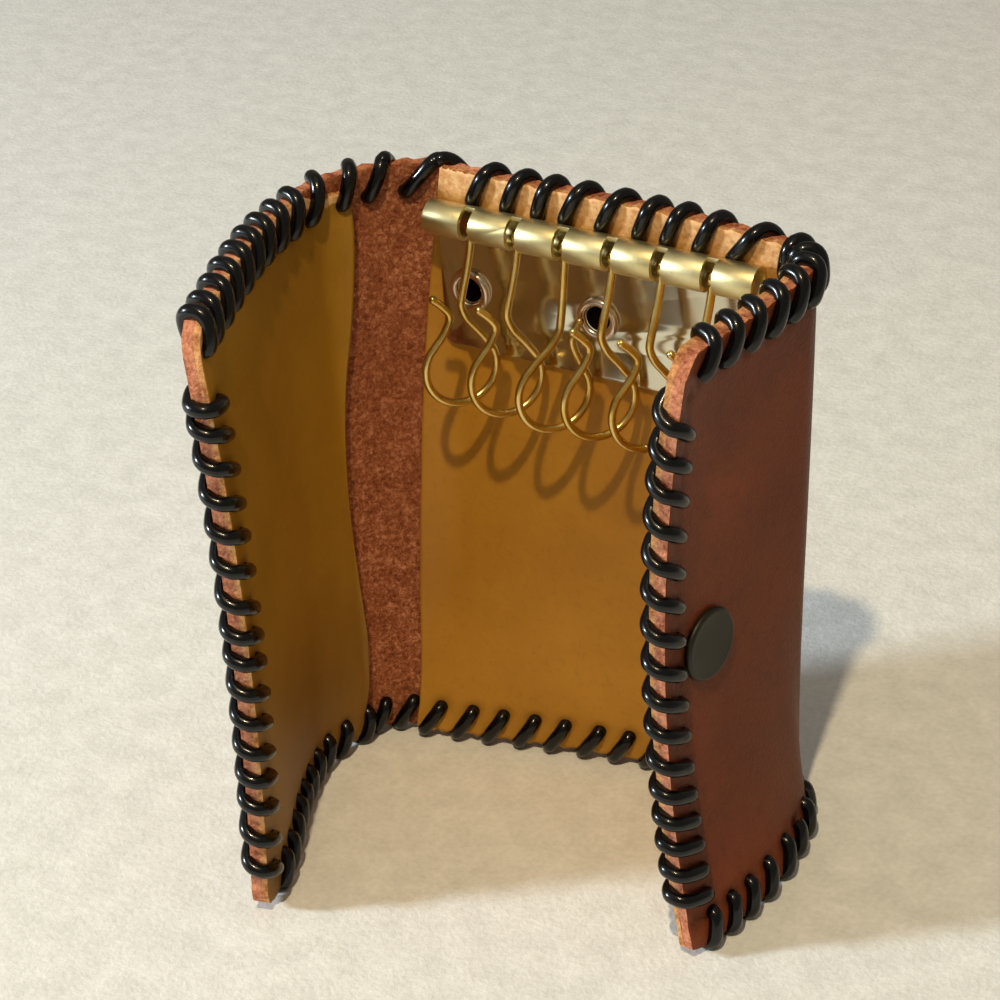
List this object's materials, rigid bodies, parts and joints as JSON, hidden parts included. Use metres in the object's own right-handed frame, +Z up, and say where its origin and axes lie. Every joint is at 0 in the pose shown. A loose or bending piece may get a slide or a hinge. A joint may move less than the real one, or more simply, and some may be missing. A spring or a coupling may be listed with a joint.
{
  "type": "key case",
  "caption": "Tri-fold leather key case standing open, whip-laced edges, slotted brass key plate with wire hooks, press stud.",
  "frame": {"origin": "centre of the bounding box on the plane that it stands on", "axes": "+Z up, -Y the open front of the case, +X to the right seen from the front"},
  "size_m": [0.0864, 0.0692, 0.1094],
  "materials": {
    "cover_leather": "satin",
    "lining_leather": "satin",
    "lacing_cord": "gloss",
    "pale_brass": "polished",
    "hook_wire": "satin",
    "snap_metal": "matte"
  },
  "bodies": {
    "back": {"back_cover": "cover_leather", "left_fold_cover": "cover_leather", "right_fold_cover": "cover_leather", "back_lining": "lining_leather", "left_fold_lining": "lining_leather", "right_fold_lining": "lining_leather", "back_top_lacing": "lacing_cord", "back_bottom_lacing": "lacing_cord", "left_fold_lacing": "lacing_cord", "right_fold_lacing": "lacing_cord", "key_plate": "pale_brass", "plate_eyelets": "pale_brass"},
    "left_flap": {"left_flap_cover": "cover_leather", "left_pocket_lining": "lining_leather", "left_top_lacing": "lacing_cord", "left_bottom_lacing": "lacing_cord", "left_edge_lacing": "lacing_cord", "snap_stud": "snap_metal", "snap_stud_post": "snap_metal"},
    "right_side": {"right_side_cover": "cover_leather", "right_side_lining": "lining_leather", "side_top_lacing": "lacing_cord", "side_bottom_lacing": "lacing_cord"},
    "right_flap": {"right_flap_cover": "cover_leather", "right_flap_lining": "lining_leather", "right_top_lacing": "lacing_cord", "right_bottom_lacing": "lacing_cord", "right_edge_lacing": "lacing_cord", "snap_cap": "snap_metal", "snap_socket": "snap_metal"},
    "hook_1": {"hook_1": "hook_wire"},
    "hook_2": {"hook_2": "hook_wire"},
    "hook_3": {"hook_3": "hook_wire"},
    "hook_4": {"hook_4": "hook_wire"},
    "hook_5": {"hook_5": "hook_wire"},
    "hook_6": {"hook_6": "hook_wire"}
  },
  "joints": [
    {"name": "left_flap_hinge", "type": "hinge", "parent": "back", "child": "left_flap", "pos_m": [-0.0327, 0.02441, 0.05465], "axis": [0, 0, -1], "range_deg": [-74.5, 105.5], "deforming": ["left_fold_cover", "left_fold_lining", "left_fold_lacing"]},
    {"name": "right_fold_hinge", "type": "hinge", "parent": "back", "child": "right_side", "pos_m": [0.035, 0.02618, 0.05465], "axis": [0, 0, 1], "range_deg": [-37.38, 97.5], "deforming": ["right_fold_cover", "right_fold_lining", "right_fold_lacing"]},
    {"name": "right_turn_hinge", "type": "hinge", "parent": "right_side", "child": "right_flap", "pos_m": [0.03637, 0.00608, 0.05465], "axis": [0, 0, 1], "range_deg": [-36.08, 0]},
    {"name": "hook_1_swing", "type": "hinge", "parent": "back", "child": "hook_1", "pos_m": [-0.0185, 0.02726, 0.1007], "axis": [-1, 0, 0], "range_deg": [0, 100]},
    {"name": "hook_2_swing", "type": "hinge", "parent": "back", "child": "hook_2", "pos_m": [-0.0099, 0.02726, 0.1007], "axis": [-1, 0, 0], "range_deg": [0, 100]},
    {"name": "hook_3_swing", "type": "hinge", "parent": "back", "child": "hook_3", "pos_m": [-0.0013, 0.02726, 0.1007], "axis": [-1, 0, 0], "range_deg": [0, 100]},
    {"name": "hook_4_swing", "type": "hinge", "parent": "back", "child": "hook_4", "pos_m": [0.0073, 0.02726, 0.1007], "axis": [-1, 0, 0], "range_deg": [0, 100]},
    {"name": "hook_5_swing", "type": "hinge", "parent": "back", "child": "hook_5", "pos_m": [0.0159, 0.02726, 0.1007], "axis": [-1, 0, 0], "range_deg": [0, 100]},
    {"name": "hook_6_swing", "type": "hinge", "parent": "back", "child": "hook_6", "pos_m": [0.0245, 0.02726, 0.1007], "axis": [-1, 0, 0], "range_deg": [0, 100]}
  ]
}
